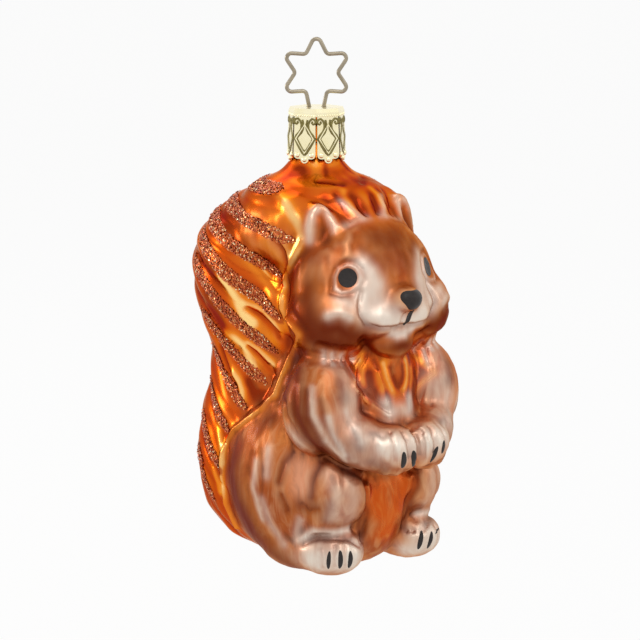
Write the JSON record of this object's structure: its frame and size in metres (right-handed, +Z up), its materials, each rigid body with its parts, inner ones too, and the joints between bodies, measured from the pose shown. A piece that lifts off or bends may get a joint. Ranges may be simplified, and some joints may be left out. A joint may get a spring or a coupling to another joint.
{
  "type": "hanging squirrel ornament",
  "caption": "Hollow blown glass squirrel with a bushy tail, a stamped metal cap over its neck and an open star of spring wire to hang it by.",
  "frame": {"origin": "inside of the top bend of the wire star, where the hook or ribbon bears", "axes": "+Z up along the neck, -Y the way the squirrel faces, +X its left side"},
  "size_m": [0.0398, 0.0568, 0.0974],
  "materials": {
    "glass_body": "silvered inside, coloured lacquer outside, satin on the fur and glossy on the tail",
    "glitter_stripes": "copper red glitter flakes bonded in clear lacquer",
    "crown_cap": "pale gold plated stamped sheet",
    "hanger": "grey brown plated spring wire"
  },
  "bodies": {
    "glass": {"glass_body": "glass_body", "glitter_stripes": "glitter_stripes"},
    "cap": {"crown_cap": "crown_cap"},
    "hanger": {"hanger": "hanger"}
  },
  "joints": [
    {"name": "cap_lift", "type": "slide", "parent": "glass", "child": "cap", "axis": [0, 0, 1], "range_m": [0, 0.018]},
    {"name": "hanger_tilt", "type": "hinge", "parent": "cap", "child": "hanger", "pos_m": [0, 0, -0.01225], "axis": [0.7431, -0.6691, 0], "range_deg": [-8, 8]}
  ]
}
